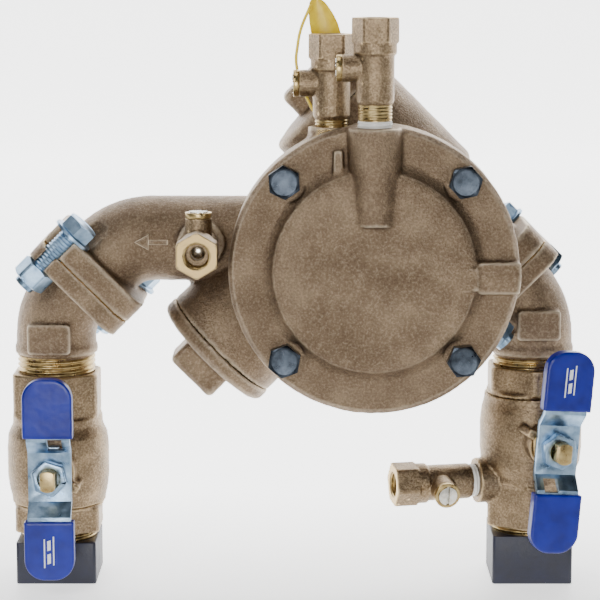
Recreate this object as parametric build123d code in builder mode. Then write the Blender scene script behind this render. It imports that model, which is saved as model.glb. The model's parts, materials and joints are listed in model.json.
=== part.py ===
"""A one-inch reduced-pressure backflow preventer with its ball valves and test cocks.

Millimetres, +Z up, -Y is the front. The origin is the middle of the inlet coupling's
lower end. The inlet riser stands at X = 0 and the outlet riser to its left, at -X.
Water rises on the right, passes the first check on its way up to the left, turns and
passes the second check on its way down, and leaves through the pipe on the left. The
relief valve lies front to back between the two checks, under the big round cover.
"""
import os
from math import cos, radians, sin, sqrt

from build123d import *

# --- Driving dimensions ---
THREAD_R = 33.4 / 2            # one-inch pipe thread
BORE_R = 13.0                  # waterway
RISER_SPACING = 215.0
COUPLING_SIDE = 36.0           # the couplings are square outside
RISER_TAP_R = 14.7             # tapping size of the risers' own thread
VALVE_BOTTOM = {"inlet": 25.0, "outlet": 22.0}
SHOULDER_Z, CORNER_Z = 103.4, 123.4      # elbow shoulder and the corner of its axis
JOINT_REACH = 21.0             # elbow corner to flange joint
ELBOW_R, ELBOW_BEND = 17.9, 29.0
OUTLET_R, OUTLET_BEND, OUTLET_Z = 19.0, 30.0, 155.4

FLANGE_SIDE, FLANGE_CORNER = 51.5, 9.0
BODY_FLANGE, ELBOW_FLANGE = 11.0, 8.5
BOLT_OUT, BOLT_DEEP = 18.0, 20.5         # flange bolt offsets, in the slope and in depth
BOLT_R, BOLT_HOLE_R = 4.7, 5.3

CHECK_START = 52.7             # flange joint to the first seat
TURN = 14.0                    # first seat to the axis of the second check
CHECK_APART = 57.2             # that crossing to the second seat
CHECK_LENGTH = 53.5            # seat to the end of the barrel
BARREL_R, CHAMBER_R, NECK_R = 29.0, 22.0, 20.5
SEAT_R, SEAT_THICK = 17.5, 5.0

COVER_R, COVER_X, COVER_Z = 62.0, -73.4, 148.4
COVER_BOLT_R = 54.0
DIAPHRAGM_Y, DIAPHRAGM_THICK = -46.0, 2.0
RIM_Y = -57.0                  # front of the cover's rim
RELIEF_R, RELIEF_SEAT_Y, RELIEF_TRAVEL = 14.05, 32.0, 7.0
SPOUT_Y, SPOUT_END_Z, SPOUT_R, SPOUT_BORE_R = 45.0, 92.0, 15.0, 11.0
SPOUT_SOCKET = 40.0            # depth of the spout's wide bore

BALL_R, BALL_BORE_R, CAVITY_R = 17.0, 12.5, 18.0
LONG_END, SHORT_END = 41.0, 32.0         # ball centre to the valve's two ends
HEX_AF = 38.0
INLET_VALVE_TURN = 13.0        # the inlet valve faces a little to the right
HANDLE_TILT = 5.0

COCK_LENGTH, COCK_BODY_R, COCK_AF = 35.9, 8.0, 17.7
COCK_BALL_AT = 21.0            # hex end to the cock's own ball
COCK_PORT_R, COCK_PORT_DEPTH = 5.6, 9.0
RUNNING = 0.05                 # radial clearance of a turning or sliding fit

# --- Reference planes ---
UP_LEFT = Vector(-1, 0, 1) / sqrt(2)
DOWN_LEFT = Vector(-1, 0, -1) / sqrt(2)
UP_RIGHT = Vector(1, 0, 1) / sqrt(2)
DEPTH = Vector(0, 1, 0)

inlet_corner = Vector(0, 0, CORNER_Z)
outlet_corner = Vector(-RISER_SPACING, 0, CORNER_Z)
inlet_joint = Plane(inlet_corner + UP_LEFT * JOINT_REACH, x_dir=DEPTH, z_dir=UP_LEFT)
outlet_joint = Plane(outlet_corner + UP_RIGHT * JOINT_REACH, x_dir=DEPTH, z_dir=UP_RIGHT)
check1 = inlet_joint.offset(CHECK_START)
crossing = check1.origin + UP_LEFT * TURN
check2 = Plane(crossing + DOWN_LEFT * CHECK_APART, x_dir=DEPTH, z_dir=DOWN_LEFT)
relief = Plane((COVER_X, 0, COVER_Z), x_dir=(-1, 0, 0), z_dir=DEPTH)

parts = {}


def keep(name, piece):
    """Label a finished piece and remember it under its node's name."""
    piece.part.label = name
    parts[name] = piece.part


def spun(plane, angle):
    """The same plane with its axes turned about its own normal, in degrees."""
    about = Axis((0, 0, 0), plane.z_dir)
    return Plane(plane.origin, x_dir=plane.x_dir.rotate(about, angle), z_dir=plane.z_dir)


def turned(plane, outline, mode=Mode.ADD):
    """Turn an outline of (radius, height) points about the plane's normal."""
    side = Plane(plane.origin, x_dir=plane.x_dir, z_dir=-plane.y_dir)
    with BuildSketch(side) as profile:
        with BuildLine():
            Polyline(*outline, close=True)
        make_face()
    revolve(profile.sketch, axis=Axis(plane.origin, plane.z_dir), mode=mode)


def round_bar(plane, radius, start, end, mode=Mode.ADD):
    """A round bar, or with SUBTRACT a hole, along the plane's normal."""
    with BuildSketch(plane.offset(start)) as section:
        Circle(radius)
    extrude(section.sketch, amount=end - start, mode=mode)


def hex_bar(plane, across_flats, start, end, turn=0.0, mode=Mode.ADD):
    """A hexagonal bar along the plane's normal, with its corners just broken."""
    with BuildSketch(plane.offset(start)) as section:
        RegularPolygon(across_flats / 2, 6, major_radius=False, rotation=turn)
        Circle(across_flats / 2 * 1.12, mode=Mode.INTERSECT)
    extrude(section.sketch, amount=end - start, mode=mode)


def block(plane, width, height, start, end, corner=0.0, at=(0, 0), mode=Mode.ADD):
    """A rectangular bar along the plane's normal, with rounded corners if asked."""
    with BuildSketch(plane.offset(start)) as section:
        with Locations(at):
            if corner:
                RectangleRounded(width, height, corner)
            else:
                Rectangle(width, height)
    extrude(section.sketch, amount=end - start, mode=mode)


def pipe_run(points, bend, radius, mode=Mode.ADD):
    """A round bar along straight runs joined by a tangent bend."""
    with BuildLine() as path:
        FilletPolyline(*points, radius=bend)
    with BuildSketch(Plane(path.line @ 0, z_dir=path.line % 0)) as section:
        Circle(radius)
    sweep(section.sketch, path=path.line, mode=mode)


def ring(plane, radius, wire, height=0.0, mode=Mode.ADD):
    """A ring of round section about the plane's normal."""
    side = Plane(plane.origin, x_dir=plane.x_dir, z_dir=-plane.y_dir)
    with BuildSketch(side) as section:
        with Locations((radius, height)):
            Circle(wire)
    revolve(section.sketch, axis=Axis(plane.origin, plane.z_dir), mode=mode)


def coil(plane, radius, wire, start, end, turns):
    """A compression spring between two heights on the plane's normal."""
    pitch = (end - start - 2 * wire) / turns
    foot = plane.offset(start + wire)
    with BuildLine() as path:
        Helix(pitch, pitch * turns, radius, center=foot.origin, direction=foot.z_dir)
    with BuildSketch(Plane(path.line @ 0, z_dir=path.line % 0)) as section:
        Circle(wire)
    sweep(section.sketch, path=path.line, is_frenet=True)


def bolt_planes(joint):
    """The two flange bolts of a joint, at diagonal corners, seen from the body side."""
    return [
        joint.shift_origin(joint.from_local_coords(Vector(depth, out, 0)))
        for depth, out in ((-BOLT_DEEP, BOLT_OUT), (BOLT_DEEP, -BOLT_OUT))
    ]


# --- Test cock positions: outward direction and the side that the slotted stem faces ---
valve_angle = radians(INLET_VALVE_TURN)
cock1_out = Vector(-cos(valve_angle), -sin(valve_angle), 0)
cock1_side = Vector(0, 0, 1).cross(cock1_out)
cock1_stem = cock1_side.rotate(Axis((0, 0, 0), cock1_out), -9)
COCKS = {
    # number: (boss face, outward, stem direction, boss face to the foot of the body)
    1: (Vector(0, 0, 45.2) + cock1_out * 26.0, cock1_out, cock1_stem, 2.8),
    2: (Vector(COVER_X, -58.0, 209.5), Vector(0, 0, 1), Vector(-1, 0, 0), 10.0),
    3: (Vector(-91.4, -38.0, 208.5), Vector(0, 0, 1), Vector(-1, 0, 0), 3.5),
    4: (Vector(-148.6, -21.0, OUTLET_Z), Vector(0, -1, 0), Vector(0, 0, 1), 5.1),
}
cock_face = {n: Plane(at, x_dir=stem, z_dir=out) for n, (at, out, stem, _) in COCKS.items()}
TAP_R, TAP_DEPTH = 6.85, 8.0             # quarter-inch pipe thread in the bosses
cover_bolt_spots = [
    Plane((COVER_X + COVER_BOLT_R * cos(radians(a)), 0, COVER_Z + COVER_BOLT_R * sin(radians(a))),
          x_dir=(1, 0, 0), z_dir=DEPTH)
    for a in (45, 135, 225, 315)
]
sense_port = Plane((COVER_X + COVER_BOLT_R, 0, COVER_Z), x_dir=(1, 0, 0), z_dir=DEPTH)

# --- Main body: one casting that holds both checks and the relief valve ---
BARREL_END = CHECK_START + CHECK_LENGTH
O_RING_R, O_RING_WIRE = 25.6, 1.15
FLANGE_RING_R = 16.4
with BuildPart() as main_body:
    turned(inlet_joint, [(0, 0), (NECK_R, 0), (NECK_R, 36), (BARREL_R, 50),
                         (BARREL_R, BARREL_END), (0, BARREL_END)])
    turned(check2, [(0, -CHECK_APART), (19, -CHECK_APART), (19, -16), (BARREL_R, -4),
                    (BARREL_R, CHECK_LENGTH), (0, CHECK_LENGTH)])
    outlet_route = [(-112, 0, OUTLET_Z), (outlet_joint.origin.X + OUTLET_Z - outlet_joint.origin.Z,
                                          0, OUTLET_Z), outlet_joint.origin]
    pipe_run(outlet_route, OUTLET_BEND, OUTLET_R)
    for joint in (inlet_joint, outlet_joint):
        block(joint, FLANGE_SIDE, FLANGE_SIDE, 0, BODY_FLANGE, FLANGE_CORNER)
    # relief bowl behind the cover, its flange, the chamber behind it and the spout
    turned(relief, [(0, DIAPHRAGM_Y), (COVER_R, DIAPHRAGM_Y), (COVER_R, -36), (50, -36),
                    (45, -22), (24, -14), (18.5, -12), (18.5, 57), (0, 57)])
    spout = Plane((COVER_X, SPOUT_Y, COVER_Z), x_dir=(1, 0, 0), z_dir=(0, 0, -1))
    round_bar(spout, SPOUT_R, 0, COVER_Z - SPOUT_END_Z)
    # sensing-port bridge, test cock bosses, cast flow arrow
    round_bar(sense_port, 7.5, -40, -14)
    round_bar(cock_face[3], 10.0, -22, 0)
    round_bar(cock_face[4], 10.5, -12, 0)
    with BuildSketch(Plane((-170, -12, OUTLET_Z + 0.5), x_dir=(-1, 0, 0), z_dir=(0, -1, 0))):
        with BuildLine():
            Polyline((-7, -1.1), (1.5, -1.1), (1.5, -3.6), (8, 0), (1.5, 3.6), (1.5, 1.1),
                     (-7, 1.1), close=True)
        make_face()
    extrude(amount=OUTLET_R - 12 + 0.7)
    # flange face cut flat, then the waterway, the seats' pockets and the chambers
    turned(relief, [(0, DIAPHRAGM_Y - 6), (COVER_R + 2, DIAPHRAGM_Y - 6),
                    (COVER_R + 2, DIAPHRAGM_Y), (0, DIAPHRAGM_Y)], mode=Mode.SUBTRACT)
    round_bar(inlet_joint, BORE_R, 0, CHECK_START, mode=Mode.SUBTRACT)
    round_bar(inlet_joint, SEAT_R, CHECK_START - SEAT_THICK, CHECK_START, mode=Mode.SUBTRACT)
    round_bar(inlet_joint, CHAMBER_R, CHECK_START, BARREL_END, mode=Mode.SUBTRACT)
    round_bar(check2, BORE_R, -CHECK_APART, 0, mode=Mode.SUBTRACT)
    round_bar(check2, SEAT_R, -SEAT_THICK, 0, mode=Mode.SUBTRACT)
    round_bar(check2, CHAMBER_R, 0, CHECK_LENGTH, mode=Mode.SUBTRACT)
    outlet_route[0] = (-121, 0, OUTLET_Z)
    pipe_run(outlet_route, OUTLET_BEND, BORE_R, mode=Mode.SUBTRACT)
    turned(relief, [(0, DIAPHRAGM_Y), (43.5, DIAPHRAGM_Y), (43.5, -38), (37, -27.5),
                    (15.5, -27), (15.5, -20), (0, -20)], mode=Mode.SUBTRACT)
    round_bar(relief, RELIEF_R, -20, RELIEF_SEAT_Y + SEAT_THICK, mode=Mode.SUBTRACT)
    round_bar(relief, 12.5, RELIEF_SEAT_Y, 52, mode=Mode.SUBTRACT)
    round_bar(spout, SPOUT_BORE_R, COVER_Z - SPOUT_END_Z - SPOUT_SOCKET,
              COVER_Z - SPOUT_END_Z, mode=Mode.SUBTRACT)
    round_bar(spout, 9.0, 0, COVER_Z - SPOUT_END_Z - SPOUT_SOCKET, mode=Mode.SUBTRACT)
    # bolt holes, with the flange bolts' slots open to the edge
    for joint in (inlet_joint, outlet_joint):
        for bolt in bolt_planes(joint):
            round_bar(bolt, BOLT_HOLE_R, 0, BODY_FLANGE, mode=Mode.SUBTRACT)
            round_bar(bolt, 10.5, BODY_FLANGE, BODY_FLANGE + 12, mode=Mode.SUBTRACT)
        block(joint, 2 * BOLT_HOLE_R, FLANGE_SIDE / 2, 0, BODY_FLANGE,
              at=(-BOLT_DEEP, BOLT_OUT + FLANGE_SIDE / 4), mode=Mode.SUBTRACT)
        block(joint, 2 * BOLT_HOLE_R, FLANGE_SIDE / 2, 0, BODY_FLANGE,
              at=(BOLT_DEEP, -BOLT_OUT - FLANGE_SIDE / 4), mode=Mode.SUBTRACT)
        turned(joint, [(FLANGE_RING_R - 1.4, 0), (FLANGE_RING_R + 1.4, 0),
                       (FLANGE_RING_R + 1.4, 2.3), (FLANGE_RING_R - 1.4, 2.3)],
               mode=Mode.SUBTRACT)
    for barrel in (check1.offset(CHECK_LENGTH), check2.offset(CHECK_LENGTH)):
        turned(barrel, [(O_RING_R - 1.4, 0), (O_RING_R + 1.4, 0), (O_RING_R + 1.4, -2.3),
                        (O_RING_R - 1.4, -2.3)], mode=Mode.SUBTRACT)
    for spot in cover_bolt_spots:
        round_bar(spot, 4.0, DIAPHRAGM_Y, -30, mode=Mode.SUBTRACT)
    round_bar(sense_port, 2.0, DIAPHRAGM_Y, -5, mode=Mode.SUBTRACT)
    for number in (3, 4):
        round_bar(cock_face[number], TAP_R, -TAP_DEPTH, 0, mode=Mode.SUBTRACT)
    round_bar(cock_face[3], 9.3, 0, 3, mode=Mode.SUBTRACT)
    round_bar(cock_face[3], 3.5, -22, 0, mode=Mode.SUBTRACT)
    round_bar(cock_face[4], 3.5, -13, 0, mode=Mode.SUBTRACT)
keep("main_body", main_body)

# --- Relief cover ---
with BuildPart() as relief_cover:
    turned(relief, [(0, -48), (COVER_R, -48), (COVER_R, RIM_Y + 2.2), (COVER_R - 1.8, RIM_Y),
                    (47, RIM_Y), (44.5, -59), (43, -61.5), (40, -62.6), (20, -64.2), (0, -64.8)])
    # boss of the upper test cock, wider at its top, and the low rib beside it
    turned(cock_face[2], [(0, -41.5), (9.6, -41.5), (9.6, -25), (11.25, -14), (11.25, 0),
                          (0, 0)])
    block(cock_face[2], 22.5, 10, -14, 0, at=(0, -5))
    block(relief, 4, 19, -59.5, -52, 1.0, at=(15.5, 42))
    # sensing-port boss at the right edge, with its low step
    block(relief, 19, 13.7, -62.5, -50, 2.0, at=(1.0 - COVER_BOLT_R, -2.4))
    block(relief, 20, 10, -63.2, -52, 2.0, at=(-34, -3))
    with Locations((COVER_X, -40, COVER_Z)):
        Cylinder(COVER_R, 60, rotation=(90, 0, 0), mode=Mode.INTERSECT)
    round_bar(cock_face[2], 11.25, -6, 0)
    round_bar(cock_face[2], 9.3, 0, 3, mode=Mode.SUBTRACT)
    turned(relief, [(0, -40), (COVER_R + 2, -40), (COVER_R + 2, -48), (0, -48)],
           mode=Mode.SUBTRACT)
    turned(relief, [(0, -48), (43.5, -48), (43, -54), (39, -57.4), (0, -59.6)],
           mode=Mode.SUBTRACT)
    for spot in cover_bolt_spots:
        round_bar(spot, 4.3, RIM_Y - 1, -48, mode=Mode.SUBTRACT)
        round_bar(spot, 9.4, -66, RIM_Y, mode=Mode.SUBTRACT)
    round_bar(cock_face[2], TAP_R, -TAP_DEPTH, 0, mode=Mode.SUBTRACT)
    round_bar(cock_face[2], 2.6, -30, 0, mode=Mode.SUBTRACT)
    round_bar(sense_port, 2.0, -55, -48, mode=Mode.SUBTRACT)
    cross_drill = Plane((COVER_X + 41, -53, COVER_Z), x_dir=(0, 1, 0), z_dir=(1, 0, 0))
    round_bar(cross_drill, 1.8, 0, COVER_BOLT_R - 41, mode=Mode.SUBTRACT)
keep("relief_cover", relief_cover)

with BuildPart() as cover_bolts:
    for spot, turn in zip(cover_bolt_spots, (12, 34, 20, 5)):
        hex_bar(spot, 12.7, RIM_Y - 5.3, RIM_Y, turn)
        round_bar(spot, 3.95, RIM_Y, -32)
keep("cover_bolts", cover_bolts)

# --- Relief valve, front to back ---
STEM_R = 3.5
with BuildPart() as diaphragm:
    roll = [(24, 0), (27, -1), (31, -5), (36, -5), (40, -1), (43, 0)]
    under = [(r, h + DIAPHRAGM_Y) for r, h in reversed(roll)]
    over = [(r, h + DIAPHRAGM_Y - DIAPHRAGM_THICK) for r, h in roll]
    turned(relief, [(STEM_R, DIAPHRAGM_Y - DIAPHRAGM_THICK), *over,
                    (COVER_R - 0.5, DIAPHRAGM_Y - DIAPHRAGM_THICK), (COVER_R - 0.5, DIAPHRAGM_Y),
                    *under, (STEM_R, DIAPHRAGM_Y)])
    for spot in cover_bolt_spots:
        round_bar(spot, 4.3, -50, -44, mode=Mode.SUBTRACT)
    round_bar(sense_port, 2.5, -50, -44, mode=Mode.SUBTRACT)
keep("diaphragm", diaphragm)

front_face = DIAPHRAGM_Y - DIAPHRAGM_THICK
with BuildPart() as diaphragm_front_plate:
    turned(relief, [(STEM_R, front_face - 2.2), (22, front_face - 2.2), (23, front_face - 1.5),
                    (23, front_face), (STEM_R, front_face)])
keep("diaphragm_front_plate", diaphragm_front_plate)
with BuildPart() as diaphragm_rear_plate:
    turned(relief, [(STEM_R, DIAPHRAGM_Y), (23, DIAPHRAGM_Y), (23, DIAPHRAGM_Y + 1.5),
                    (22, DIAPHRAGM_Y + 2.5), (9, DIAPHRAGM_Y + 2.5), (9, DIAPHRAGM_Y + 5),
                    (STEM_R, DIAPHRAGM_Y + 5)])
keep("diaphragm_rear_plate", diaphragm_rear_plate)

NUT_BACK = front_face - 2.2
RELIEF_DISC_Y = RELIEF_SEAT_Y - RELIEF_TRAVEL
with BuildPart() as relief_stem:
    round_bar(relief, STEM_R, NUT_BACK - 5.6, RELIEF_DISC_Y - 4)
    round_bar(relief, STEM_R + 1.8, RELIEF_DISC_Y - 11, RELIEF_DISC_Y - 7)
keep("relief_stem", relief_stem)
with BuildPart() as relief_stem_nuts:
    hex_bar(relief, 11.0, NUT_BACK - 4.4, NUT_BACK)
    round_bar(relief, STEM_R, NUT_BACK - 4.4, NUT_BACK, mode=Mode.SUBTRACT)
    hex_bar(relief, 11.0, DIAPHRAGM_Y + 5, DIAPHRAGM_Y + 8.6)
    round_bar(relief, STEM_R, DIAPHRAGM_Y + 5, DIAPHRAGM_Y + 8.6, mode=Mode.SUBTRACT)
keep("relief_stem_nuts", relief_stem_nuts)
GUIDE_FACE = -23.0
with BuildPart() as relief_guide:
    round_bar(relief, 15.5, GUIDE_FACE, -20)
    round_bar(relief, 7.0, GUIDE_FACE, -12)
    round_bar(relief, STEM_R + RUNNING, GUIDE_FACE, -12, mode=Mode.SUBTRACT)
    for angle in (30, 150, 270):
        port = Plane((COVER_X + 10.2 * cos(radians(angle)), 0,
                      COVER_Z + 10.2 * sin(radians(angle))), x_dir=(1, 0, 0), z_dir=DEPTH)
        round_bar(port, 2.2, GUIDE_FACE, -20, mode=Mode.SUBTRACT)
keep("relief_guide", relief_guide)
with BuildPart() as relief_spring:
    coil(relief, 12.0, 1.1, DIAPHRAGM_Y + 2.6, GUIDE_FACE - 0.1, 4.5)
keep("relief_spring", relief_spring)
with BuildPart() as relief_disc_holder:
    turned(relief, [(STEM_R, RELIEF_DISC_Y - 7), (6, RELIEF_DISC_Y - 7), (12, RELIEF_DISC_Y - 5),
                    (12, RELIEF_DISC_Y - 1), (10.5, RELIEF_DISC_Y - 1), (10.5, RELIEF_DISC_Y - 3),
                    (0, RELIEF_DISC_Y - 3), (0, RELIEF_DISC_Y - 4), (STEM_R, RELIEF_DISC_Y - 4)])
keep("relief_disc_holder", relief_disc_holder)
with BuildPart() as relief_disc:
    round_bar(relief, 10.5, RELIEF_DISC_Y - 3, RELIEF_DISC_Y)
keep("relief_disc", relief_disc)
with BuildPart() as relief_seat:
    turned(relief, [(8.5, RELIEF_SEAT_Y + SEAT_THICK), (RELIEF_R, RELIEF_SEAT_Y + SEAT_THICK),
                    (RELIEF_R, RELIEF_SEAT_Y + 1.5), (10.5, RELIEF_SEAT_Y + 1.5),
                    (9.5, RELIEF_SEAT_Y), (8.5, RELIEF_SEAT_Y)])
keep("relief_seat", relief_seat)

# --- The two check valves, heights counted from the seat ---
for prefix, seat in (("check1", check1), ("check2", check2)):
    with BuildPart() as check_seat:
        turned(seat, [(12.5, -SEAT_THICK), (SEAT_R, -SEAT_THICK), (SEAT_R, 0), (14.5, 0),
                      (14, 1.2), (13, 1.2), (12.5, 0)])
    keep(f"{prefix}_seat", check_seat)
    with BuildPart() as disc:
        round_bar(seat, 16, 1.2, 4.2)
        round_bar(seat, 2.5, 1.2, 4.2, mode=Mode.SUBTRACT)
    keep(f"{prefix}_disc", disc)
    with BuildPart() as poppet:
        turned(seat, [(2.5, 4.2), (16, 4.2), (16, 2.2), (17.5, 2.2), (17.5, 6.5), (15.5, 8),
                      (6, 8), (4, 10), (4, 36), (0, 36), (0, 13), (2.5, 13)])
    keep(f"{prefix}_poppet", poppet)
    with BuildPart() as disc_screw:
        hex_bar(seat, 11, -0.8, 1.2)
        round_bar(seat, 2.5, 1.2, 13)
    keep(f"{prefix}_disc_screw", disc_screw)
    with BuildPart() as spring:
        coil(seat, 12.6, 1.3, 8.1, 49.9, 7)
    keep(f"{prefix}_spring", spring)
    with BuildPart() as bonnet:
        turned(seat, [(4 + RUNNING, 30), (8.5, 30), (8.5, 50), (17.5, 50), (17.5, 43),
                      (CHAMBER_R, 43), (CHAMBER_R, CHECK_LENGTH), (29.5, CHECK_LENGTH),
                      (29.5, 58.6), (28.3, 60), (20, 61.6), (0, 63), (0, 47), (4 + RUNNING, 47)])
        block(seat, 25, 25, 60, 73.5, 3.0)
        chamfer(bonnet.faces().sort_by(Axis(seat.origin, seat.z_dir))[-1].edges(), 1.2)
    keep(f"{prefix}_bonnet", bonnet)

with BuildPart() as o_rings:
    for joint in (inlet_joint, outlet_joint):
        ring(joint, FLANGE_RING_R, O_RING_WIRE, O_RING_WIRE)
    for seat in (check1, check2):
        ring(seat, O_RING_R, O_RING_WIRE, CHECK_LENGTH - O_RING_WIRE)
keep("o_rings", o_rings)

# --- Elbows and the bolted joints that let the risers swing ---
ELBOW_FOOT = 86.5
PADS = {"inlet_elbow": (1.2, 118.5), "outlet_elbow": (-216.5, 112.2)}
for name, corner, joint in (("inlet_elbow", inlet_corner, inlet_joint),
                            ("outlet_elbow", outlet_corner, outlet_joint)):
    riser = Plane((corner.X, 0, 0))
    route = [(corner.X, 0, SHOULDER_Z), corner, joint.origin]
    with BuildPart() as elbow:
        pipe_run(route, ELBOW_BEND, ELBOW_R)
        turned(riser, [(0, SHOULDER_Z), (18.0, SHOULDER_Z), (18.6, SHOULDER_Z + 0.8),
                       (18.6, SHOULDER_Z + 3), (17.9, SHOULDER_Z + 5), (0, SHOULDER_Z + 5)])
        round_bar(riser, THREAD_R, ELBOW_FOOT, SHOULDER_Z)
        block(joint, FLANGE_SIDE, FLANGE_SIDE, -ELBOW_FLANGE, 0, FLANGE_CORNER)
        for bolt in bolt_planes(joint):
            round_bar(bolt, 9.2, -ELBOW_FLANGE - 12, -ELBOW_FLANGE, mode=Mode.SUBTRACT)
            round_bar(bolt, BOLT_HOLE_R, -ELBOW_FLANGE - 1, 1, mode=Mode.SUBTRACT)
        front = Plane((PADS[name][0], 0, PADS[name][1]), x_dir=(1, 0, 0), z_dir=(0, -1, 0))
        block(front, 19, 13.5, 10, 19.4, 1.5)
        pipe_run(route, ELBOW_BEND, BORE_R, mode=Mode.SUBTRACT)
        round_bar(riser, BORE_R, ELBOW_FOOT, SHOULDER_Z + 1, mode=Mode.SUBTRACT)
    keep(name, elbow)

bolt_spots = bolt_planes(inlet_joint) + bolt_planes(outlet_joint)
HEAD_FACE = BODY_FLANGE
with BuildPart() as flange_bolts:
    for spot, turn in zip(bolt_spots, (10, 25, 0, 40)):
        round_bar(spot, 9.5, HEAD_FACE, HEAD_FACE + 1.7)
        hex_bar(spot, 14.0, HEAD_FACE + 1.7, HEAD_FACE + 7.6, turn)
        round_bar(spot, BOLT_R, -ELBOW_FLANGE - 11.5, HEAD_FACE)
keep("flange_bolts", flange_bolts)
with BuildPart() as flange_nuts:
    for spot, turn in zip(bolt_spots, (5, 15, 28, 33)):
        hex_bar(spot, 14.3, -ELBOW_FLANGE - 9, -ELBOW_FLANGE, turn)
        round_bar(spot, BOLT_R, -ELBOW_FLANGE - 9, -ELBOW_FLANGE, mode=Mode.SUBTRACT)
keep("flange_nuts", flange_nuts)

# --- Couplings and close nipples below the valves ---
riser_feet = {"inlet": Plane.XY, "outlet": Plane((-RISER_SPACING, 0, 0))}
NIPPLE_SHOWS, NIPPLE_DEPTH = 3.0, 12.0   # between coupling and valve, and into each
for prefix, foot in riser_feet.items():
    top = VALVE_BOTTOM[prefix] - NIPPLE_SHOWS
    with BuildPart() as coupling:
        block(foot, COUPLING_SIDE, COUPLING_SIDE, 0, top, 1.5)
        round_bar(foot, RISER_TAP_R, 0, top, mode=Mode.SUBTRACT)
        round_bar(foot, THREAD_R, top - NIPPLE_DEPTH, top, mode=Mode.SUBTRACT)
    keep(f"{prefix}_coupling", coupling)
with BuildPart() as riser_nipples:
    for prefix, foot in riser_feet.items():
        lower = VALVE_BOTTOM[prefix] - NIPPLE_SHOWS - NIPPLE_DEPTH
        upper = VALVE_BOTTOM[prefix] + NIPPLE_DEPTH
        round_bar(foot, THREAD_R, lower, upper)
        round_bar(foot, BORE_R, lower, upper, mode=Mode.SUBTRACT)
keep("riser_nipples", riser_nipples)

# --- Ball valves: flow runs from the long hexagonal end to the tailpiece ---
inlet_front = Vector(sin(valve_angle), -cos(valve_angle), 0)
VALVES = {
    # prefix: (flow plane with +X at the handle, handle's tilt, side of the stop tab)
    "inlet": (Plane((0, 0, VALVE_BOTTOM["inlet"] + LONG_END), x_dir=inlet_front, z_dir=(0, 0, 1)),
              HANDLE_TILT, -1),
    "outlet": (Plane((-RISER_SPACING, 0, VALVE_BOTTOM["outlet"] + SHORT_END), x_dir=(0, -1, 0),
                     z_dir=(0, 0, -1)), 0.0, 1),
}
TAIL_FACE, TAIL_START = 19.0, 13.6
THREAD_DEPTH = 14.0
STEM_OUT, PACKING_AT, GLAND_AT, HANDLE_AT = 47.0, 22.0, 25.5, 34.5
HOUSING_END, PLATE, JOGGLE = 28.0, 2.6, 5.5
BALL_STEM_R, GLAND_R = 6.0, 8.0
STEM_END_R, STEM_FLATS = 4.7, 6.4        # the stem's double-D end
HANDLE_GRIP = 26.5
HALF_HANDLE, HANDLE_WIDTH = 43.0, 19.0
valve_front = {
    prefix: Plane(flow.origin, x_dir=(0, 0, 1), z_dir=flow.x_dir)
    for prefix, (flow, _, _) in VALVES.items()
}

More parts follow.
